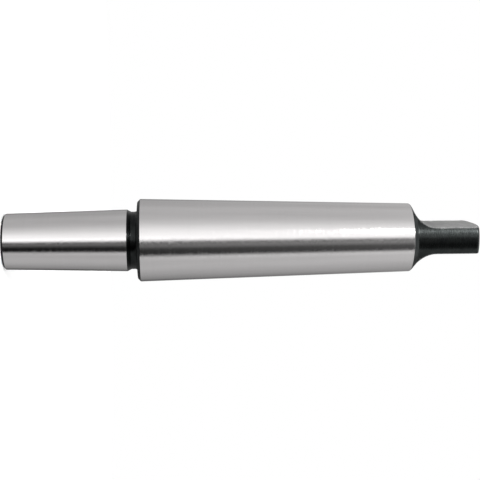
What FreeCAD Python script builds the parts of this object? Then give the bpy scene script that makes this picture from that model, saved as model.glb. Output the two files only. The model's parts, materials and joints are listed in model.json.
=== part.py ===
import FreeCAD, Part
import os
from math import atan2

import Sketcher

# Drill chuck arbor: one turned, milled and ground steel bar.
#
# The arbor stands on its chuck end, with its axis on +Z. From the bottom up it has a short
# chuck taper, an undercut, a long spindle taper, a turned neck and a tang with two flats.
# The origin is the middle of the chuck end face, and the flats look along +X and -X.
# All sizes are in millimetres.

# Driving dimensions, each written once
SIZES = {
    # Chuck taper, which the drill chuck is pushed onto
    "chuck_gauge_dia": 17.780,
    "chuck_gauge_height": 32.0,
    "chuck_taper_ratio": 20.020,
    "chuck_taper_overrun": 3.5,
    "chuck_end_chamfer": 0.65,
    # Undercut between the chuck taper and the body face
    "undercut_width": 3.0,
    "undercut_dia": 16.7,
    "undercut_lead": 1.2,
    "undercut_fillet": 0.8,
    # Spindle taper, which sits in the machine's spindle
    "body_face_chamfer": 0.85,
    "spindle_gauge_dia": 23.825,
    "spindle_gauge_setback": 5.0,
    "spindle_taper_ratio": 19.922,
    "spindle_taper_length": 74.5,
    # Neck and tang
    "neck_dia": 18.5,
    "neck_cone_length": 1.4,
    "tang_reach": 20.4,
    "tang_thickness": 7.7,
    "tang_flat_length": 13.6,
    "tang_runout_radius": 6.5,
    "tang_crown_radius": 30.0,
    "tang_end_radius": 1.0,
    "tang_edge_break": 0.2,
    # Centre holes, which the arbor is turned and ground on
    "centre_angle": 60.0,
    "pilot_tip_angle": 118.0,
    "chuck_centre_mouth_dia": 6.7,
    "chuck_centre_pilot_dia": 3.15,
    "chuck_centre_depth": 6.8,
    "tang_centre_mouth_dia": 5.3,
    "tang_centre_pilot_dia": 2.5,
    "tang_centre_depth": 5.6,
    # How far a cutter runs past the surface that it leaves
    "cutter_clearance": 1.0,
}

doc = FreeCAD.newDocument("drill_chuck_arbor")
sheet = doc.addObject("Spreadsheet::Sheet", "Sizes")
for row, (alias, value) in enumerate(SIZES.items(), start=1):
    sheet.set(f"A{row}", alias)
    sheet.set(f"B{row}", str(value))
    sheet.setAlias(f"B{row}", alias)
doc.recompute()

# Heights along the axis, as expressions of the sheet's values
CHUCK_TOP = "(Sizes.chuck_gauge_height + Sizes.chuck_taper_overrun)"
BODY_FACE = f"({CHUCK_TOP} + Sizes.undercut_width)"
SPINDLE_GAUGE = f"({BODY_FACE} + Sizes.spindle_gauge_setback)"
TAPER_END = f"({SPINDLE_GAUGE} + Sizes.spindle_taper_length)"
CROWN_TOP = f"({TAPER_END} + Sizes.tang_reach)"
FLAT_START = f"({CROWN_TOP} - Sizes.tang_flat_length)"

# Radii and half sizes
UNDERCUT = "(Sizes.undercut_dia / 2)"
NECK = "(Sizes.neck_dia / 2)"
HALF_TANG = "(Sizes.tang_thickness / 2)"
RUNOUT = "Sizes.tang_runout_radius"


def chuck_radius(height):
    """Radius of the chuck taper at a height: it grows towards the body."""
    rise = f"({height} - Sizes.chuck_gauge_height)"
    return f"(Sizes.chuck_gauge_dia / 2 + {rise} / (2 * Sizes.chuck_taper_ratio))"


def spindle_radius(height):
    """Radius of the spindle taper at a height: it shrinks towards the tang."""
    rise = f"({height} - {SPINDLE_GAUGE})"
    return f"(Sizes.spindle_gauge_dia / 2 - {rise} / (2 * Sizes.spindle_taper_ratio))"


def value_of(expression):
    """Number that an expression of the sheet's values gives."""
    return float(sheet.evalExpression(expression))


def origin_plane(body, role):
    """One of the body's own origin planes."""
    return next(item for item in body.Origin.OriginFeatures if item.Role == role)


def bind(sketch, kind, where, label, expression):
    """Add a named dimension to a sketch and tie it to the sheet."""
    number = sketch.addConstraint(Sketcher.Constraint(kind, *where, value_of(expression)))
    sketch.renameConstraint(number, label)
    sketch.setExpression(f"Constraints.{label}", expression)


def arc_about(centre, start, finish):
    """The short arc between two points, and which of its ends is the start."""
    first = start - centre
    second = finish - centre
    anticlockwise = first.cross(second).z > 0
    ends = (first, second) if anticlockwise else (second, first)
    angles = [atan2(end.y, end.x) for end in ends]
    circle = Part.Circle(centre, FreeCAD.Vector(0, 0, 1), first.Length)
    return Part.ArcOfCircle(circle, *angles), (1, 2) if anticlockwise else (2, 1)


def draw(body, name, corners):
    """Sketch a closed outline on the XZ plane, across on X and up on Z.

    Each corner is a label, its distances across and up, and None for a straight edge to
    the next corner, or the two places of an arc's centre and the arc's radius.
    """
    sketch = body.newObject("Sketcher::SketchObject", name)
    sketch.AttachmentSupport = [(origin_plane(body, "XZ_Plane"), "")]
    sketch.MapMode = "FlatFace"
    points = [FreeCAD.Vector(value_of(c[1]), value_of(c[2]), 0) for c in corners]
    bends = [corner[3] for corner in corners]
    edges = []
    for start, finish, bend in zip(points, points[1:] + points[:1], bends):
        if bend is None:
            curve = Part.LineSegment(start, finish)
            ends = (1, 2)
        else:
            centre = FreeCAD.Vector(value_of(bend[0]), value_of(bend[1]), 0)
            curve, ends = arc_about(centre, start, finish)
        edge = sketch.addGeometry(curve, False)
        edges.append((edge, ends))
    for i, (label, across, up, bend) in enumerate(corners):
        edge, ends = edges[i]
        before, before_ends = edges[i - 1]
        sketch.addConstraint(
            Sketcher.Constraint("Coincident", before, before_ends[1], edge, ends[0])
        )
        bind(sketch, "DistanceX", (-1, 1, edge, ends[0]), f"{label}_across", across)
        bind(sketch, "DistanceY", (-1, 1, edge, ends[0]), f"{label}_up", up)
        if bend is not None:
            bind(sketch, "Radius", (edge,), f"{label}_radius", bend[2])
    return sketch


def turned_blank(body):
    """The whole arbor as it leaves the lathe: half its section, turned about the axis."""
    end_chamfer = "Sizes.chuck_end_chamfer"
    end_edge = f"({chuck_radius(end_chamfer)} - {end_chamfer})"
    face_top = f"({BODY_FACE} + Sizes.body_face_chamfer)"
    face_edge = f"({spindle_radius(face_top)} - Sizes.body_face_chamfer)"
    floor_start = f"({CHUCK_TOP} + Sizes.undercut_lead)"
    floor_end = f"({BODY_FACE} - Sizes.undercut_fillet)"
    fillet_edge = f"({UNDERCUT} + Sizes.undercut_fillet)"
    neck_start = f"({TAPER_END} + Sizes.neck_cone_length)"
    # The end's rounding touches both the neck and the crown, so its centre lies on the
    # line from the crown's centre to the point where they touch
    crown = "Sizes.tang_crown_radius"
    bend = "Sizes.tang_end_radius"
    crown_centre = f"({CROWN_TOP} - {crown})"
    bend_across = f"({NECK} - {bend})"
    bend_rise = f"sqrt(({crown} - {bend}) ^ 2 - {bend_across} ^ 2)"
    bend_centre = f"({crown_centre} + {bend_rise})"
    stretch = f"({crown} / ({crown} - {bend}))"
    crown_edge = f"({bend_across} * {stretch})"
    crown_edge_height = f"({crown_centre} + {bend_rise} * {stretch})"
    sketch = draw(body, "half_section", [
        ("end_middle", "0", "0", None),
        ("end_edge", end_edge, "0", None),
        ("chuck_small_end", chuck_radius(end_chamfer), end_chamfer, None),
        ("chuck_big_end", chuck_radius(CHUCK_TOP), CHUCK_TOP, None),
        ("undercut_floor_start", UNDERCUT, floor_start, None),
        ("undercut_floor_end", UNDERCUT, floor_end,
         (fillet_edge, floor_end, "Sizes.undercut_fillet")),
        ("body_face_inner", fillet_edge, BODY_FACE, None),
        ("body_face_outer", face_edge, BODY_FACE, None),
        ("spindle_big_end", spindle_radius(face_top), face_top, None),
        ("spindle_small_end", spindle_radius(TAPER_END), TAPER_END, None),
        ("neck_start", NECK, neck_start, None),
        ("neck_end", NECK, bend_centre, (bend_across, bend_centre, bend)),
        ("crown_edge", crown_edge, crown_edge_height, ("0", crown_centre, crown)),
        ("crown_middle", "0", CROWN_TOP, None),
    ])
    blank = body.newObject("PartDesign::Revolution", "turned_blank")
    blank.Profile = sketch
    blank.ReferenceAxis = (sketch, ["V_Axis"])
    blank.Angle = 360
    doc.recompute()
    return blank


def centre_hole(body, name, face, inward, mouth_dia, pilot_dia, depth):
    """A centre hole on the axis, cut inward (1 or -1 along Z) from the height of a face."""
    slope = "tan(Sizes.centre_angle / 2 * 1 deg)"
    tip_slope = "tan(Sizes.pilot_tip_angle / 2 * 1 deg)"
    over = "Sizes.cutter_clearance"
    mouth = f"({mouth_dia} / 2 + {over} * {slope})"
    pilot = f"({pilot_dia} / 2)"
    cone_depth = f"(({mouth_dia} - {pilot_dia}) / 2 / {slope})"
    tip_depth = f"({depth} + {pilot} / {tip_slope})"
    sketch = draw(body, f"{name}_section", [
        ("outside", "0", f"({face} - {inward} * {over})", None),
        ("mouth", mouth, f"({face} - {inward} * {over})", None),
        ("cone_end", pilot, f"({face} + {inward} * {cone_depth})", None),
        ("pilot_end", pilot, f"({face} + {inward} * {depth})", None),
        ("tip", "0", f"({face} + {inward} * {tip_depth})", None),
    ])
    hole = body.newObject("PartDesign::Groove", name)
    hole.Profile = sketch
    hole.ReferenceAxis = (sketch, ["V_Axis"])
    hole.Angle = 360
    doc.recompute()
    return hole


def tang_flats(body):
    """Two flats milled from the tang's end, running out in an arc of the cutter's radius."""
    arc_start = f"({FLAT_START} - {RUNOUT})"
    arc_reach = f"({HALF_TANG} + {RUNOUT})"
    outside = f"({arc_reach} + Sizes.spindle_gauge_dia / 2)"
    over = f"({CROWN_TOP} + Sizes.cutter_clearance)"
    sketch = draw(body, "flat_outline", [
        ("arc_start", arc_reach, arc_start, None),
        ("outer_low", outside, arc_start, None),
        ("outer_high", outside, over, None),
        ("flat_end", HALF_TANG, over, None),
        ("flat_start", HALF_TANG, FLAT_START, (arc_reach, FLAT_START, RUNOUT)),
    ])
    flat = body.newObject("PartDesign::Pocket", "tang_flat")
    flat.Profile = sketch
    flat.Type = "ThroughAll"
    flat.Midplane = True
    doc.recompute()
    pair = body.newObject("PartDesign::Mirrored", "tang_flats")
    pair.Originals = [flat]
    pair.MirrorPlane = (origin_plane(body, "YZ_Plane"), [""])
    body.Tip = pair
    doc.recompute()
    return pair


def broken_edges(body, milled):
    """A light chamfer round each flat, as left by a file.

    It is asked for along the flat's long edges, and goes on over the rounded end, where
    the edge turns without a corner.
    """
    half = value_of(HALF_TANG)
    low = value_of(FLAT_START)
    slack = 1e-4
    names = []
    for i, edge in enumerate(milled.Shape.Edges, start=1):
        box = edge.BoundBox
        on_flat = abs(abs(box.Center.x) - half) < slack and box.XLength < slack
        along = abs(box.ZMin - low) < slack and box.YLength < slack
        if on_flat and along:
            names.append(f"Edge{i}")
    chamfer = body.newObject("PartDesign::Chamfer", "tang_broken_edges")
    chamfer.Base = (milled, names)
    chamfer.setExpression("Size", "Sizes.tang_edge_break")
    body.Tip = chamfer
    doc.recompute()
    return chamfer


def make_arbor():
    body = doc.addObject("PartDesign::Body", "arbor")
    body.Label = "arbor"
    blank = turned_blank(body)
    centre_hole(
        body, "chuck_centre", "0", "1", "Sizes.chuck_centre_mouth_dia",
        "Sizes.chuck_centre_pilot_dia", "Sizes.chuck_centre_depth",
    )
    drilled = centre_hole(
        body, "tang_centre", CROWN_TOP, "-1", "Sizes.tang_centre_mouth_dia",
        "Sizes.tang_centre_pilot_dia", "Sizes.tang_centre_depth",
    )
    milled = tang_flats(body)
    finished = broken_edges(body, milled)
    volumes = [item.Shape.Volume for item in (blank, drilled, milled, finished)]
    if sorted(volumes, reverse=True) != volumes or len(set(volumes)) != len(volumes):
        raise RuntimeError(f"a cut removed nothing: volumes {volumes}")
    return body


def check(parts):
    """Stop before anything is written if a feature failed."""
    doc.recompute()
    for item in doc.Objects:
        if "Invalid" in item.State or "Error" in item.State:
            raise RuntimeError(f"{item.Name} failed: {item.State}")
    for part in parts:
        if part.Shape.isNull() or not part.Shape.isValid():
            raise RuntimeError(f"{part.Label} has no valid shape")


parts = [make_arbor()]
check(parts)
os.makedirs("parts", exist_ok=True)
for part in parts:
    part.Shape.exportStep(f"parts/{part.Label}.step")
    size = part.Shape.BoundBox
    print(part.Label, "solids", len(part.Shape.Solids), "volume", round(part.Shape.Volume, 2))
    print("size", round(size.XLength, 3), round(size.YLength, 3), round(size.ZLength, 3))
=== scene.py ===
import bpy
import json
from math import atan2, cos, hypot, pi, radians, sin, sqrt, tan

from mathutils import Matrix, Vector


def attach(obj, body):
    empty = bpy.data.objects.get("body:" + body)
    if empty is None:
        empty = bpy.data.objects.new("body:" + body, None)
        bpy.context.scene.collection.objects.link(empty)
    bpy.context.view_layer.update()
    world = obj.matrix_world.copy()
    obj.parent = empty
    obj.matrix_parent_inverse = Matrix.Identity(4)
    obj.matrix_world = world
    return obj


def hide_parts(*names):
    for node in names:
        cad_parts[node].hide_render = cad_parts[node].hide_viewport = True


# Looks of the drill chuck arbor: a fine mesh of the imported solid's form, with ground,
# blackened and milled surfaces, in a soft light tent. All lengths are in metres.

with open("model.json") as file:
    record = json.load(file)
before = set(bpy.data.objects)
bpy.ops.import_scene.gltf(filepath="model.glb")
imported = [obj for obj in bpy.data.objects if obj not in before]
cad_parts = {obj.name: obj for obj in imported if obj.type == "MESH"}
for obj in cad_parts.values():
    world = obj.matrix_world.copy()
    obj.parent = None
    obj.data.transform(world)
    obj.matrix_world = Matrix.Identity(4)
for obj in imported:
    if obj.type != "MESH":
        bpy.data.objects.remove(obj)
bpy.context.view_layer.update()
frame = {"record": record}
mounts = {mount["name"]: mount for mount in frame["record"]["mounts"]}
MM = 0.001

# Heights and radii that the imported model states
CHUCK_GAUGE = mounts["chuck_taper"]["pos_m"][2]
CHUCK_GAUGE_RADIUS = mounts["chuck_taper"]["dims"]["r_mm"] * MM
SPINDLE_GAUGE = mounts["spindle_taper"]["pos_m"][2]
SPINDLE_GAUGE_RADIUS = mounts["spindle_taper"]["dims"]["r_mm"] * MM
TAPER_END = SPINDLE_GAUGE + mounts["spindle_taper"]["dims"]["length_mm"] * MM
CROWN_TOP = mounts["tang_end"]["pos_m"][2]
HALF_TANG = mounts["tang_flat_front"]["pos_m"][0]

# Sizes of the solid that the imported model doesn't state, as in the part's source
CHUCK_SLOPE = 1 / 20.020 / 2
SPINDLE_SLOPE = 1 / 19.922 / 2
CHUCK_TOP = CHUCK_GAUGE + 3.5 * MM
BODY_FACE = CHUCK_TOP + 3.0 * MM
END_CHAMFER = 0.65 * MM
UNDERCUT_RADIUS = 8.35 * MM
UNDERCUT_LEAD = 1.2 * MM
UNDERCUT_FILLET = 0.8 * MM
FACE_CHAMFER = 0.85 * MM
NECK_RADIUS = 9.25 * MM
NECK_CONE = 1.4 * MM
FLAT_LENGTH = 13.6 * MM
RUNOUT_RADIUS = 6.5 * MM
CROWN_RADIUS = 30.0 * MM
END_BEND = 1.0 * MM
EDGE_BREAK = 0.2 * MM
FLAT_START = CROWN_TOP - FLAT_LENGTH
NECK_START = TAPER_END + NECK_CONE

# Centre holes: a 60 degree cone, a pilot and a 118 degree drilled tip
CENTRE_SLOPE = tan(radians(30))
TIP_SLOPE = tan(radians(59))
CHUCK_CENTRE = {"mouth": 3.35 * MM, "pilot": 1.575 * MM, "depth": 6.8 * MM}
TANG_CENTRE = {"mouth": 2.65 * MM, "pilot": 1.25 * MM, "depth": 5.6 * MM}

# How far a ground or turned edge, and the flats' edge at the tang's end, are rounded over
HONED = 0.07 * MM
BROKEN = 0.14 * MM
END_BREAK = 0.42 * MM

# The largest part of the line beside it that a rounding takes, and where one counts as large
ROUNDING_SHARE = 0.45
LARGE_ROUNDING = 0.5 * MM

# Where a flat is worn: across it from its middle, and up from its run-out's edge
WORN_START = 6.6 * MM
WORN_END = 8.2 * MM
WORN_RUNOUT = 0.4 * MM

# Wear of the neck beside a flat's edge, and of the flats' edge at the tang's end
NECK_EDGE_WEAR = 0.5
END_EDGE_WEAR = 0.4

# Painted shade in the run-out's hollow: where it starts to fade so the hollow turns light, and
# where it is gone so the hollow is as light as the flat
HOLLOW_SHADE_START = 0.2 * MM
HOLLOW_SHADE_END = 1.6 * MM

# Mesh density
FLAT_COLUMNS = 36
ROUND_COLUMNS = 14
NECK_STEP = 0.8 * MM
TANG_ROWS = 30
CROWN_ROWS = 20
CROWN_RIM_ROWS = 2
ARC_STEPS = 3
FILLET_STEPS = 10
BEND_STEPS = 10
LONG_STEP = 3 * MM

# How often the search for the run-out's start halves its range
HALVINGS = 50

# Steps in a metre to which two points are rounded, to see whether they are one
WELD_STEPS = 1e8

# Rows at the corner of the cone and the neck, counted in roundings from it
CONE_ROWS = (-5, -3, -2, -1.2, -0.6, 0, 0.6, 1.2, 2, 3)

# Material slots of the arbor's mesh
GROUND, BLACK, MILLED, CENTRE, UNDERCUT = range(5)


def chuck_radius(height):
    return CHUCK_GAUGE_RADIUS + (height - CHUCK_GAUGE) * CHUCK_SLOPE


def spindle_radius(height):
    return SPINDLE_GAUGE_RADIUS - (height - SPINDLE_GAUGE) * SPINDLE_SLOPE


def crown_height(radius):
    return CROWN_TOP - CROWN_RADIUS + sqrt(CROWN_RADIUS ** 2 - radius ** 2)


def outward(direction):
    """Normal of the section's edge that runs in a direction, on the air's side."""
    return Vector((direction.y, -direction.x)).normalized()


def rounded(before, here, after, reach):
    """Points and normals of a corner whose rounding starts a reach away from it."""
    into = (here - before).normalized()
    out = (after - here).normalized()
    shorter = min((here - before).length, (after - here).length)
    reach = min(reach, ROUNDING_SHARE * shorter)
    steps = FILLET_STEPS if reach > LARGE_ROUNDING else ARC_STEPS
    side = 1 if into.cross(out) > 0 else -1
    radius = side * reach / tan(into.angle(out) / 2)
    centre = here - into * reach - outward(into) * radius
    normals = [outward(into).slerp(outward(out), k / steps) for k in range(steps + 1)]
    return [(centre + normal * radius, normal) for normal in normals]


def section(corners):
    """Rows of a turned surface: a radius and height, a normal and the next faces' finish.

    Each corner is a radius, a height, the reach of its rounding and the finish of the
    surface after it. The first and last corners only give a direction, unless they are
    on the axis.
    """
    places = [Vector(corner[:2]) for corner in corners]
    rows = []
    if places[0].x == 0:
        rows.append((places[0], Vector((0, -1)), corners[0][3]))
    for i in range(1, len(corners) - 1):
        arc = rounded(places[i - 1], places[i], places[i + 1], corners[i][2])
        if rows:
            last = rows[-1][0]
            gap = arc[0][0] - last
            count = max(1, round(gap.length / LONG_STEP))
            for k in range(1, count):
                rows.append((last + gap * k / count, outward(gap), corners[i - 1][3]))
        for k, (place, normal) in enumerate(arc):
            finish = corners[i][3] if 2 * k >= len(arc) - 1 else corners[i - 1][3]
            rows.append((place, normal, finish))
    if places[-1].x == 0:
        rows.append((places[-1], Vector((0, 1)), corners[-1][3]))
    return rows


def centre_hole(hole, face, way):
    """Corners of a centre hole, from its tip to its mouth in a face at a height."""
    cone = (hole["mouth"] - hole["pilot"]) / CENTRE_SLOPE
    tip = hole["depth"] + hole["pilot"] / TIP_SLOPE
    return [
        (0, face + way * tip, 0, BLACK),
        (hole["pilot"], face + way * hole["depth"], HONED, BLACK),
        (hole["pilot"], face + way * cone, HONED, CENTRE),
        (hole["mouth"], face, HONED, BLACK),
    ]


def reversed_finish(corners):
    """The same corners the other way round, each with the finish that now follows it."""
    finishes = [corner[3] for corner in corners]
    turned = [
        (*corner[:3], finish) for corner, finish in zip(corners[1:], finishes[:-1])
    ]
    return turned[::-1] + [corners[0]]


def neck(height):
    """Radius of the neck and of the cone below it, and the slope of that radius."""
    slope = (spindle_radius(TAPER_END) - NECK_RADIUS) / NECK_CONE
    below = NECK_START - height
    soft = hypot(below, BROKEN)
    return NECK_RADIUS + slope * (below + soft) / 2, -slope * (1 + below / soft) / 2


def runout(height):
    """How far out the milled surface lies, and the slope of that distance."""
    drop = max(0.0, FLAT_START - height)
    root = sqrt(RUNOUT_RADIUS ** 2 - drop ** 2)
    return HALF_TANG + RUNOUT_RADIUS - root, -drop / root


def neck_point(angle, height, wear=0.0):
    radius, slope = neck(height)
    place = Vector((radius * cos(angle), radius * sin(angle), height))
    return place, Vector((cos(angle), sin(angle), -slope)).normalized(), wear


def milled_wear(across, rise=WORN_RUNOUT):
    """Wear of the milled surface beside its long edge and just above its run-out's edge."""
    beside = (across - WORN_START) / (WORN_END - WORN_START)
    return max(0.0, min(1.0, beside), 1 - rise / WORN_RUNOUT)


def milled_point(across, height, wear=0.0):
    out, slope = runout(height)
    return Vector((out, across, height)), Vector((1, 0, -slope)).normalized(), wear


def turned_point(angle, row):
    (radius, height), (out, rise) = row[:2]
    place = Vector((radius * cos(angle), radius * sin(angle), height))
    return place, Vector((out * cos(angle), out * sin(angle), rise)), 0.0


def crown_point(x, y):
    rise = sqrt(CROWN_RADIUS ** 2 - x ** 2 - y ** 2)
    return Vector((x, y, CROWN_TOP - CROWN_RADIUS + rise)), Vector((x, y, rise)).normalized(), 0.0


def end_bend():
    """Rows round the tang's end, from the neck to the crown and just over its rim."""
    across = NECK_RADIUS - END_BEND
    rise = sqrt((CROWN_RADIUS - END_BEND) ** 2 - across ** 2)
    centre = Vector((across, CROWN_TOP - CROWN_RADIUS + rise))
    rows = []
    for k in range(BEND_STEPS + 1):
        turn = atan2(rise, across) * k / BEND_STEPS
        normal = Vector((cos(turn), sin(turn)))
        rows.append((centre + normal * END_BEND, normal, BLACK))
    for k in range(1, CROWN_RIM_ROWS + 1):
        radius = rows[BEND_STEPS][0].x - EDGE_BREAK * k
        place = Vector((radius, crown_height(radius)))
        normal = place - Vector((0, CROWN_TOP - CROWN_RADIUS))
        rows.append((place, normal.normalized(), BLACK))
    return rows


def between(corner, first, second, wear=1.0):
    """Middle point of a broken edge, from the sharp corner and the two sides' points."""
    place = (corner + (first[0] + second[0]) / 2) / 2
    return place, (first[1] + second[1]).normalized(), wear


def runout_start():
    """Angle round the run-out's arc at which the milled surface leaves the neck."""
    low, high = radians(45), radians(90)
    for _ in range(HALVINGS):
        angle = (low + high) / 2
        height = FLAT_START - RUNOUT_RADIUS * sin(angle)
        if runout(height)[0] > neck(height)[0]:
            high = angle
        else:
            low = angle
    return low


def tang_edge():
    """The milled surface's edge in the neck, from its lowest point to its corner.

    Each entry is the corner's place, and the points of the broken edge on the neck, at
    its middle and on the milled surface.
    """
    start = runout_start()
    places = []
    for i in range(FLAT_COLUMNS + 1):
        height = FLAT_START - RUNOUT_RADIUS * sin(start * (1 - (i / FLAT_COLUMNS) ** 2))
        out = runout(height)[0]
        radius = max(out, neck(height)[0])
        places.append(Vector((out, sqrt(radius ** 2 - out ** 2), height)))
    edge = []
    for i, place in enumerate(places):
        if i == 0:
            along = Vector((0, 1, 0))
        elif i == FLAT_COLUMNS:
            along = Vector((0, 0, 1))
        else:
            along = (places[i + 1] - places[i - 1]).normalized()
        neck_normal = neck_point(atan2(place.y, place.x), place.z)[1]
        milled_normal = milled_point(place.y, place.z)[1]
        on_neck = place - neck_normal.cross(along) * EDGE_BREAK
        on_milled = place + milled_normal.cross(along) * EDGE_BREAK
        first = neck_point(atan2(on_neck.y, on_neck.x), on_neck.z, NECK_EDGE_WEAR)
        second = milled_point(on_milled.y, on_milled.z, milled_wear(on_milled.y, 0))
        edge.append((place, first, between(place, first, second), second))
    return edge


class Skin:
    """The arbor's mesh. One quarter is given as grids of points, and four are made.

    A point is its place, its normal and how worn the finish is there, from 0 to 1.
    """

    def __init__(self):
        self.found = {}
        self.points = []
        self.faces = []
        self.finishes = []

    def vertex(self, point, side_x, side_y):
        place, normal, wear = point
        place = Vector((place.x * side_x, place.y * side_y, place.z))
        key = tuple(round(value * WELD_STEPS) for value in place)
        if key not in self.found:
            normal = Vector((normal.x * side_x, normal.y * side_y, normal.z))
            self.found[key] = len(self.points)
            self.points.append((place, normal, wear))
        return self.found[key]

    def grid(self, rows, finishes):
        """Four copies of a grid whose rows go upwards and columns anticlockwise."""
        for side_x, side_y in ((1, 1), (-1, 1), (-1, -1), (1, -1)):
            lines = [[self.vertex(point, side_x, side_y) for point in row] for row in rows]
            for lower, upper, finish in zip(lines, lines[1:], finishes):
                for k in range(len(lower) - 1):
                    corners = [lower[k], lower[k + 1], upper[k + 1], upper[k]]
                    corners = [here for j, here in enumerate(corners) if here != corners[j - 1]]
                    if len(set(corners)) > 2:
                        self.faces.append(corners[::side_x * side_y])
                        self.finishes.append(finish)

    def turned(self, rows, angles):
        grid = [[turned_point(angle, row) for angle in angles] for row in rows]
        self.grid(grid, [row[2] for row in rows])

    def mesh(self, name):
        mesh = bpy.data.meshes.new(name)
        mesh.from_pydata([tuple(point[0]) for point in self.points], [], self.faces)
        mesh.polygons.foreach_set("material_index", self.finishes)
        mesh.polygons.foreach_set("use_smooth", [True] * len(self.faces))
        wear = mesh.attributes.new("wear", "FLOAT", "POINT")
        wear.data.foreach_set("value", [point[2] for point in self.points])
        mesh.normals_split_custom_set_from_vertices([tuple(point[1]) for point in self.points])
        return mesh


def column_angles(edge):
    """Angles of the mesh's columns, from a flat's middle to a quarter turn away."""
    angles = [atan2(entry[0].y, entry[0].x) for entry in edge]
    corner = angles[-1]
    for j in range(1, ROUND_COLUMNS + 1):
        angles.append(corner + (pi / 2 - corner) * j / ROUND_COLUMNS)
    return angles


def lower_section():
    """Rows from the lower centre hole to the start of the neck's cone."""
    chuck_edge = chuck_radius(END_CHAMFER)
    spindle_edge = spindle_radius(BODY_FACE + FACE_CHAMFER)
    return section(centre_hole(CHUCK_CENTRE, 0, 1) + [
        (chuck_edge - END_CHAMFER, 0, BROKEN, BLACK),
        (chuck_edge, END_CHAMFER, HONED, GROUND),
        (chuck_radius(CHUCK_TOP), CHUCK_TOP, HONED, UNDERCUT),
        (UNDERCUT_RADIUS, CHUCK_TOP + UNDERCUT_LEAD, BROKEN, UNDERCUT),
        (UNDERCUT_RADIUS, BODY_FACE, UNDERCUT_FILLET, UNDERCUT),
        (spindle_edge - FACE_CHAMFER, BODY_FACE, BROKEN, BLACK),
        (spindle_edge, BODY_FACE + FACE_CHAMFER, HONED, GROUND),
        (spindle_radius(TAPER_END), TAPER_END, HONED, BLACK),
        (NECK_RADIUS, NECK_START, 0, BLACK),
    ])


def add_neck(skin, edge, angles, start):
    """Cone and neck, from the lower section's last row up to the milled surface's edge."""
    heights = [NECK_START + BROKEN * k for k in CONE_ROWS]
    while heights[-1] < FLAT_START - NECK_STEP:
        heights.append(heights[-1] + NECK_STEP)
    ends = [entry[1] for entry in edge]
    ends += [neck_point(angle, FLAT_START) for angle in angles[len(ends):]]
    base = start[0].y
    rows = [[turned_point(angle, start) for angle in angles]]
    for height in heights:
        row = []
        for angle, end in zip(angles, ends):
            rise = (height - base) / (end[0].z - base)
            turn = angle + (atan2(end[0].y, end[0].x) - angle) * rise
            row.append(neck_point(turn, height) if rise < 1 else end)
        rows.append(row)
    rows.append(ends)
    skin.grid(rows, [BLACK] * len(rows))


def add_flat(skin, edge, beside, milled_top):
    """Milled surface, the neck beside it and the broken edge between them, to a height.

    It returns the points of their top row.
    """
    corner, on_neck = edge[-1][:2]
    neck_angle = atan2(on_neck[0].y, on_neck[0].x)
    milled_rows = []
    neck_rows = []
    broken_rows = [entry[1:] for entry in edge]
    for k in range(TANG_ROWS + 1):
        share = (k / TANG_ROWS) ** 2
        row = []
        for entry in edge:
            place = entry[3][0]
            rise = (milled_top - place.z) * share
            row.append(milled_point(place.y, place.z + rise, milled_wear(place.y, rise)))
        milled_rows.append(row)
        height = FLAT_START + (milled_top - FLAT_START) * share
        first = on_neck if k == 0 else neck_point(neck_angle, height, NECK_EDGE_WEAR)
        neck_rows.append([first] + [neck_point(angle, height) for angle in beside])
        if k > 0:
            sharp = Vector((corner.x, corner.y, height))
            broken_rows.append((first, between(sharp, first, row[-1]), row[-1]))
    skin.grid(milled_rows, [MILLED] * len(milled_rows))
    skin.grid(neck_rows, [BLACK] * len(neck_rows))
    skin.grid(list(zip(*broken_rows)), [BLACK] * 2)
    return milled_rows[-1] + [broken_rows[-1][1]] + neck_rows[-1]


def end_flat_point(across, k, rise, milled_top):
    """Point in row k of the tang's end, on the flat, on its edge or on the crown inside."""
    worn = milled_wear(across)
    sharp = Vector((HALF_TANG, across, crown_height(hypot(HALF_TANG, across))))
    below = milled_point(across, sharp.z - END_BREAK, worn)
    inside = crown_point(HALF_TANG - END_BREAK, across)
    if k <= BEND_STEPS:
        return milled_point(across, milled_top + (below[0].z - milled_top) * rise, worn)
    if k < BEND_STEPS + CROWN_RIM_ROWS:
        return between(sharp, below, inside, END_EDGE_WEAR)
    return inside


def add_end(skin, edge, beside, bend, foot):
    """Tang's end round the bend, from the flat's top row. It returns the crown's rim."""
    last = len(bend) - 1
    milled_top = bend[0][0].y
    corner = edge[-1][0]
    rows = [foot]
    for k in range(1, last + 1):
        radius, height = bend[k][0]
        half_width = sqrt(radius ** 2 - HALF_TANG ** 2)
        narrowing = half_width / corner.y
        rise = (height - milled_top) / (bend[BEND_STEPS][0].y - milled_top)
        flat_part = [
            end_flat_point(entry[3][0].y * narrowing, k, rise, milled_top) for entry in edge
        ]
        broken = EDGE_BREAK + (END_BREAK - EDGE_BREAK) * k / last
        turn = atan2(half_width, HALF_TANG) + broken / radius
        first = turned_point(turn, bend[k])
        middle = between(Vector((HALF_TANG, half_width, height)), first, flat_part[-1])
        if k == last:
            middle = crown_point(*((first[0] + flat_part[-1][0]) / 2).xy)
        round_part = [turned_point(angle, bend[k]) for angle in beside]
        rows.append(flat_part + [middle, first] + round_part)
    columns = len(edge)
    full_rows = rows[:BEND_STEPS + 1]
    skin.grid([row[:columns] for row in full_rows], [MILLED] * BEND_STEPS)
    skin.grid([row[columns - 1:] for row in full_rows], [BLACK] * BEND_STEPS)
    skin.grid(rows[BEND_STEPS:], [BLACK] * CROWN_RIM_ROWS)
    return rows[-1]


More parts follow.
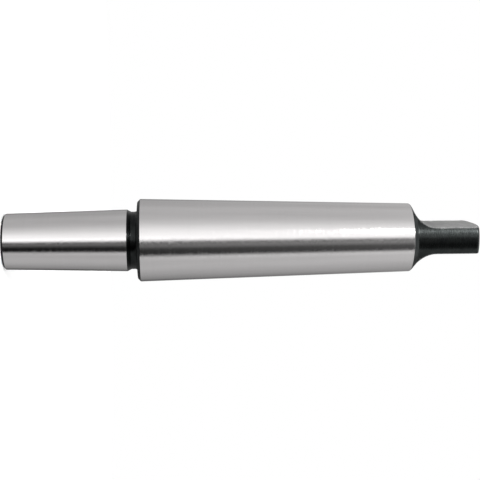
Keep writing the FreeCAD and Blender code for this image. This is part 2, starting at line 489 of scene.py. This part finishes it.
def add_crown(skin, rim):
    """Crown, from its rounded rim to the upper centre hole, and that hole."""
    mouth = TANG_CENTRE["mouth"]
    outside = mouth + MM
    hole = section([
        (outside, crown_height(outside), 0, BLACK),
        *reversed_finish(centre_hole(TANG_CENTRE, crown_height(mouth), -1)),
    ])
    hole_radius = hole[0][0].x
    angles = [atan2(point[0].y, point[0].x) for point in rim]
    rows = [rim]
    for k in range(1, CROWN_ROWS):
        share = k / CROWN_ROWS
        row = []
        for point, angle in zip(rim, angles):
            x = point[0].x + (hole_radius * cos(angle) - point[0].x) * share
            y = point[0].y + (hole_radius * sin(angle) - point[0].y) * share
            row.append(crown_point(x, y))
        rows.append(row)
    rows.append([turned_point(angle, hole[0]) for angle in angles])
    skin.grid(rows, [BLACK] * len(rows))
    skin.turned(hole, angles)


def arbor_skin():
    """The arbor's whole surface, from the lower centre hole to the upper one."""
    skin = Skin()
    edge = tang_edge()
    angles = column_angles(edge)
    beside = angles[FLAT_COLUMNS + 1:]
    lower = lower_section()
    bend = end_bend()
    skin.turned(lower, angles)
    add_neck(skin, edge, angles, lower[-1])
    foot = add_flat(skin, edge, beside, bend[0][0].y)
    rim = add_end(skin, edge, beside, bend, foot)
    add_crown(skin, rim)
    return skin


def new_object(name, data):
    thing = bpy.data.objects.new(name, data)
    bpy.context.scene.collection.objects.link(thing)
    return thing


def make(tree, kind, inputs=(), **settings):
    """Adds a node, sets its properties, and links or fills its inputs."""
    node = tree.nodes.new(kind)
    for name, value in settings.items():
        setattr(node, name, value)
    for name, value in dict(inputs).items():
        if isinstance(value, bpy.types.NodeSocket):
            tree.links.new(value, node.inputs[name])
        else:
            node.inputs[name].default_value = value
    return node


def new_material(name):
    material = bpy.data.materials.new(name)
    material.use_nodes = True
    material.node_tree.nodes.clear()
    return material, material.node_tree


NOISE_ROUGHNESS = 0.6


def noise(tree, scale, detail):
    """Noise whose scale along each axis is in features per metre."""
    place = make(tree, "ShaderNodeTexCoord").outputs["Object"]
    stretched = make(tree, "ShaderNodeMapping", {"Vector": place, "Scale": scale})
    return make(tree, "ShaderNodeTexNoise", {
        "Vector": stretched.outputs["Vector"], "Scale": 1.0, "Detail": detail,
        "Roughness": NOISE_ROUGHNESS,
    }).outputs["Fac"]


def attribute(tree, name):
    """A value that the mesh holds at its points."""
    return make(tree, "ShaderNodeAttribute", attribute_name=name).outputs["Fac"]


def ranged(tree, value, low, high, start=0.0, end=1.0):
    """A value's range from start to end mapped to low to high."""
    return make(tree, "ShaderNodeMapRange", {
        "Value": value, "From Min": start, "From Max": end, "To Min": low, "To Max": high,
    }).outputs["Result"]


def maths(tree, operation, first, second):
    node = make(tree, "ShaderNodeMath", {0: first, 1: second}, operation=operation)
    return node.outputs["Value"]


def blend(tree, first, share, second):
    """Two values added up, by the first one's share and the rest."""
    return maths(tree, "ADD", maths(tree, "MULTIPLY", first, share),
                 maths(tree, "MULTIPLY", second, 1 - share))


def mixed(tree, factor, first, second):
    return make(tree, "ShaderNodeMix", {"Factor": factor, 6: first, 7: second},
                data_type="RGBA").outputs[2]


def bumped(tree, height):
    return make(tree, "ShaderNodeBump", {
        "Height": height, "Distance": RELIEF, "Strength": 1.0,
    }).outputs["Normal"]


def round_axis(tree):
    """Direction round the arbor's axis, which the turned and ground lines follow."""
    return make(tree, "ShaderNodeTangent", direction_type="RADIAL", axis="Z").outputs["Tangent"]


def surface(tree, inputs):
    shader = make(tree, "ShaderNodeBsdfPrincipled", inputs)
    make(tree, "ShaderNodeOutputMaterial", {"Surface": shader.outputs["BSDF"]})


def grey(level):
    return (level, level, level, 1)


# Depth of the finishes' lines and grain, and a quarter turn of a finish's stretched shine
RELIEF = 0.03 * MM
QUARTER_TURN = 0.25

# Colours, the darker and the lighter one of each finish, and those of worn places
STEEL = (0.644, 0.630, 0.630, 1)
STEEL_LIGHT = (0.705, 0.689, 0.690, 1)
OXIDE = (0.028, 0.031, 0.031, 1)
OXIDE_LIGHT = (0.041, 0.045, 0.0445, 1)
DEEP_OXIDE = (0.016, 0.0175, 0.0175, 1)
DEEP_OXIDE_LIGHT = (0.027, 0.0295, 0.0295, 1)
MILLED_DARK = grey(0.19)
MILLED_LIGHT = grey(0.39)
MILLED_WORN = grey(0.85)
WORN = grey(0.55)
CENTRE_DARK = grey(0.45)
CENTRE_LIGHT = grey(0.62)

# How far the painted shade moves the run-out's hollow from the flats' light grey towards the dark
# one
HOLLOW_SHADE_TONE = 0.4


def ground_steel():
    """Ground taper: fine lines round the axis, and faint smears along it."""
    material, tree = new_material("ground_steel")
    lines = noise(tree, (60, 60, 5200), 3)
    smears = noise(tree, (420, 420, 30), 3)
    tone = blend(tree, lines, 0.35, smears)
    surface(tree, {
        "Base Color": mixed(tree, ranged(tree, tone, 0, 1, 0.3, 0.7), STEEL, STEEL_LIGHT),
        "Metallic": 1.0,
        "Roughness": ranged(tree, lines, 0.09, 0.13, 0.3, 0.7),
        "Anisotropic": 0.6,
        "Anisotropic Rotation": QUARTER_TURN,
        "Normal": bumped(tree, lines),
        "Tangent": round_axis(tree),
    })
    return material


def black_oxide(name, dark, light):
    """Blackened turned steel: fine lines round the axis, worn a little at the edges."""
    material, tree = new_material(name)
    lines = noise(tree, (160, 160, 3600), 2)
    patches = noise(tree, (520, 520, 520), 4)
    colour = mixed(tree, ranged(tree, patches, 0, 1, 0.35, 0.65), dark, light)
    worn = maths(tree, "MULTIPLY", attribute(tree, "wear"),
                 ranged(tree, patches, 0.6, 1.0, 0.4, 0.6))
    surface(tree, {
        "Base Color": mixed(tree, worn, colour, WORN),
        "Metallic": 1.0,
        "Roughness": ranged(tree, lines, 0.25, 0.30, 0.3, 0.7),
        "Anisotropic": 0.75,
        "Anisotropic Rotation": QUARTER_TURN,
        "Normal": bumped(tree, lines),
        "Tangent": round_axis(tree),
    })
    return material


def milled_oxide():
    """Blackened milled flat: mottled and grainy, with painted shade that darkens the run-out's
    hollow.
    """
    material, tree = new_material("milled_oxide")
    patches = noise(tree, (420, 260, 520), 3)
    grain = noise(tree, (1500, 1300, 1700), 2)
    mottle = blend(tree, patches, 0.65, grain)
    marks = noise(tree, (120, 120, 2600), 2)
    place = make(tree, "ShaderNodeTexCoord").outputs["Object"]
    height = make(tree, "ShaderNodeSeparateXYZ", {"Vector": place}).outputs["Z"]
    # Painted shade: the colour is darker low in the run-out's hollow and fades out above it
    hollow = ranged(tree, height, HOLLOW_SHADE_TONE, 0, FLAT_START + HOLLOW_SHADE_START,
                    FLAT_START + HOLLOW_SHADE_END)
    tone = maths(tree, "SUBTRACT", ranged(tree, mottle, 0, 1, 0.38, 0.62), hollow)
    colour = mixed(tree, tone, MILLED_DARK, MILLED_LIGHT)
    worn = maths(tree, "MULTIPLY", attribute(tree, "wear"),
                 ranged(tree, patches, 0.4, 1.0, 0.4, 0.6))
    relief = maths(tree, "ADD", mottle, maths(tree, "MULTIPLY", marks, 0.6))
    surface(tree, {
        "Base Color": mixed(tree, worn, colour, MILLED_WORN),
        "Metallic": 0.5,
        "Roughness": ranged(tree, mottle, 0.30, 0.40, 0.35, 0.65),
        "Normal": bumped(tree, relief),
    })
    return material


def centre_steel():
    """Bright lapped cone of a centre hole."""
    material, tree = new_material("centre_steel")
    lines = noise(tree, (200, 200, 4000), 2)
    surface(tree, {
        "Base Color": mixed(tree, lines, CENTRE_DARK, CENTRE_LIGHT),
        "Metallic": 1.0,
        "Roughness": ranged(tree, lines, 0.25, 0.4, 0.3, 0.7),
        "Normal": bumped(tree, lines),
    })
    return material


# The arbor
arbor = new_object("arbor_body", arbor_skin().mesh("arbor_body"))
arbor.data.materials.append(ground_steel())
arbor.data.materials.append(black_oxide("black_oxide", OXIDE, OXIDE_LIGHT))
arbor.data.materials.append(milled_oxide())
arbor.data.materials.append(centre_steel())
arbor.data.materials.append(black_oxide("undercut_oxide", DEEP_OXIDE, DEEP_OXIDE_LIGHT))
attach(arbor, "root")
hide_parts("arbor")

# Camera: level with the arbor's middle, its picture turned so that the arbor lies flat
CAMERA_LENS = 81.6
SENSOR_WIDTH = 36
CLIP_START = 10 * MM
CAMERA_DISTANCE = 318.74 * MM
CAMERA_AIM = 68.328 * MM
CAMERA_DROP = 0.255 * MM
CAMERA_YAW = radians(3.252)
CAMERA_ROLL = radians(-0.641)
FLAT_TURN = radians(8.2)

to_camera = Vector((-sin(FLAT_TURN), -cos(FLAT_TURN), 0))
picture_up = Vector((-cos(FLAT_TURN), sin(FLAT_TURN), 0))
along = Vector((0, 0, 1))
forward = along * sin(CAMERA_YAW) - to_camera * cos(CAMERA_YAW)
right = along * cos(CAMERA_YAW) + to_camera * sin(CAMERA_YAW)
camera_right = right * cos(CAMERA_ROLL) + picture_up * sin(CAMERA_ROLL)
camera_up = picture_up * cos(CAMERA_ROLL) - right * sin(CAMERA_ROLL)
camera_data = bpy.data.cameras.new("camera")
camera_data.lens = CAMERA_LENS
camera_data.sensor_width = SENSOR_WIDTH
camera_data.clip_start = CLIP_START
camera = new_object("camera", camera_data)
place = along * CAMERA_AIM - forward * CAMERA_DISTANCE - picture_up * CAMERA_DROP
turn = Matrix((camera_right, camera_up, -forward)).transposed()
camera.matrix_world = Matrix.Translation(place) @ turn.to_4x4()
bpy.context.scene.camera = camera

# Light tent: soft panels and flags round the arbor, by their angle from the camera,
# positive towards the picture's top. Each entry is an angle and the light there, first
# where the chuck end reflects it and then where the tang end does. The angles were chosen
# and the levels typed, and then corrected in rounds, by the ratio between the
# brightness of the reflections in the photograph and in a render.
TENT = [
    (-180, 0.22, 0.55), (-165, 0.12, 0.42), (-152, 0.09, 0.29), (-140, 0.27, 0.37),
    (-118, 0.41, 0.48), (-102, 0.51, 0.56), (-90, 0.56, 0.62), (-78, 0.59, 0.68),
    (-60, 0.54, 0.70), (-52, 0.62, 0.79), (-46.5, 0.70, 0.92), (-43.5, 0.01, 0.07),
    (-36, 0.008, 0.10), (-30, 0.010, 0.10), (-24, 0.02, 0.10), (-14, 0.22, 0.36),
    (-8, 0.12, 0.27), (-4.5, 0.03, 0.08), (-1.5, 1.0, 0.7), (0.5, 1.85, 1.25),
    (3, 1.87, 1.46), (6, 1.58, 1.42), (12, 1.42, 1.42), (18, 1.30, 1.42), (24, 1.24, 1.29),
    (30, 1.10, 1.18), (36, 0.97, 1.10), (48, 0.78, 0.885), (62, 0.625, 0.71),
    (78, 0.565, 0.655), (98, 0.585, 0.69), (120, 0.49, 0.59), (145, 0.44, 0.59),
    (158, 0.24, 0.53), (168, 0.14, 0.43), (180, 0.22, 0.55),
]

# A bright strip above the reflected part, which lights the blackened end: the angles of
# its two edges, and its light
STRIP_START = 16.5
STRIP_END = 26.5
STRIP_LIGHT = 14.5

TENT_RADIUS = 0.6
TENT_STEPS = 720

# Rows of the tent's points: a height, the end whose light the row has, and whether the
# bright strip crosses it
CHUCK_END, TANG_END = 1, 2
TENT_ROWS = (
    (-0.6, CHUCK_END, False), (-0.05, CHUCK_END, False), (0.28, TANG_END, False),
    (0.30, TANG_END, False), (0.36, TANG_END, True), (0.9, TANG_END, True),
)

# Light of the tent's underside and of its top
UNDER_LIGHT = 0.3
CEILING_LIGHT = 1.4


def tent_light(angle, end):
    """The tent's light at an angle, for one of the arbor's ends."""
    for first, second in zip(TENT, TENT[1:]):
        if angle <= second[0]:
            share = (angle - first[0]) / (second[0] - first[0])
            return first[end] + (second[end] - first[end]) * share
    return TENT[-1][end]


def light_tent():
    facing = atan2(to_camera.y, to_camera.x)
    points = []
    levels = []
    for height, end, strip in TENT_ROWS:
        for k in range(TENT_STEPS):
            angle = 360 * k / TENT_STEPS - 180
            turn = facing - radians(angle)
            points.append((TENT_RADIUS * cos(turn), TENT_RADIUS * sin(turn), height))
            bright = strip and STRIP_START < angle < STRIP_END
            levels.append(STRIP_LIGHT if bright else tent_light(angle, end))
    under = len(points)
    points.append((0, 0, TENT_ROWS[0][0]))
    levels.append(UNDER_LIGHT)
    ceiling = range(under + 1, under + 1 + TENT_STEPS)
    points += points[under - TENT_STEPS:under]
    levels += [CEILING_LIGHT] * TENT_STEPS
    faces = [tuple(ceiling)]
    for k in range(TENT_STEPS):
        after = (k + 1) % TENT_STEPS
        faces.append((after, k, under))
        for row in range(0, under - TENT_STEPS, TENT_STEPS):
            upper = row + TENT_STEPS
            faces.append((row + k, row + after, upper + after, upper + k))
    mesh = bpy.data.meshes.new("light_tent")
    mesh.from_pydata(points, [], faces)
    mesh.attributes.new("light", "FLOAT", "POINT").data.foreach_set("value", levels)
    material, tree = new_material("light_tent")
    glow = make(tree, "ShaderNodeEmission", {"Strength": attribute(tree, "light")})
    make(tree, "ShaderNodeOutputMaterial", {"Surface": glow.outputs["Emission"]})
    mesh.materials.append(material)
    tent = new_object("light_tent", mesh)
    tent.visible_camera = False


def seen_directly(tree):
    """1 for camera, glossy and transmission rays, and 0 for the rest."""
    path = make(tree, "ShaderNodeLightPath")
    seen = maths(tree, "MAXIMUM", path.outputs["Is Camera Ray"], path.outputs["Is Glossy Ray"])
    return maths(tree, "MAXIMUM", seen, path.outputs["Is Transmission Ray"])


FLOOR_RADIUS = 0.5
FLOOR_SIDES = 96
FLOOR_GLOW = 0.42
FLOOR_PAINT = grey(0.85)


def pale_floor():
    """White floor, brightened for the camera so that only the arbor's shadow shows."""
    mesh = bpy.data.meshes.new("floor")
    turns = [2 * pi * k / FLOOR_SIDES for k in range(FLOOR_SIDES)]
    points = [(FLOOR_RADIUS * cos(turn), FLOOR_RADIUS * sin(turn), 0) for turn in turns]
    mesh.from_pydata(points, [], [range(FLOOR_SIDES)])
    material, tree = new_material("floor")
    glow = make(tree, "ShaderNodeEmission", {
        "Strength": maths(tree, "MULTIPLY", seen_directly(tree), FLOOR_GLOW),
    })
    paint = make(tree, "ShaderNodeBsdfDiffuse", {"Color": FLOOR_PAINT})
    both = make(tree, "ShaderNodeAddShader", {0: glow.outputs[0], 1: paint.outputs[0]})
    shown = make(tree, "ShaderNodeMixShader", {
        "Fac": make(tree, "ShaderNodeNewGeometry").outputs["Backfacing"],
        1: both.outputs["Shader"],
        2: make(tree, "ShaderNodeBsdfTransparent").outputs["BSDF"],
    })
    make(tree, "ShaderNodeOutputMaterial", {"Surface": shown.outputs["Shader"]})
    mesh.materials.append(material)
    floor = new_object("floor", mesh)
    floor.visible_glossy = False


# The world's light on surfaces, while it looks white where it is seen directly
WORLD_LIGHT = 0.8


def studio_world():
    world = bpy.data.worlds.new("studio")
    bpy.context.scene.world = world
    world.use_nodes = True
    tree = world.node_tree
    tree.nodes.clear()
    level = ranged(tree, seen_directly(tree), WORLD_LIGHT, 1.0)
    sky = make(tree, "ShaderNodeBackground", {"Color": grey(1.0), "Strength": level})
    make(tree, "ShaderNodeOutputWorld", {"Surface": sky.outputs["Background"]})


light_tent()
pale_floor()
studio_world()
bpy.context.scene.view_settings.view_transform = "Standard"
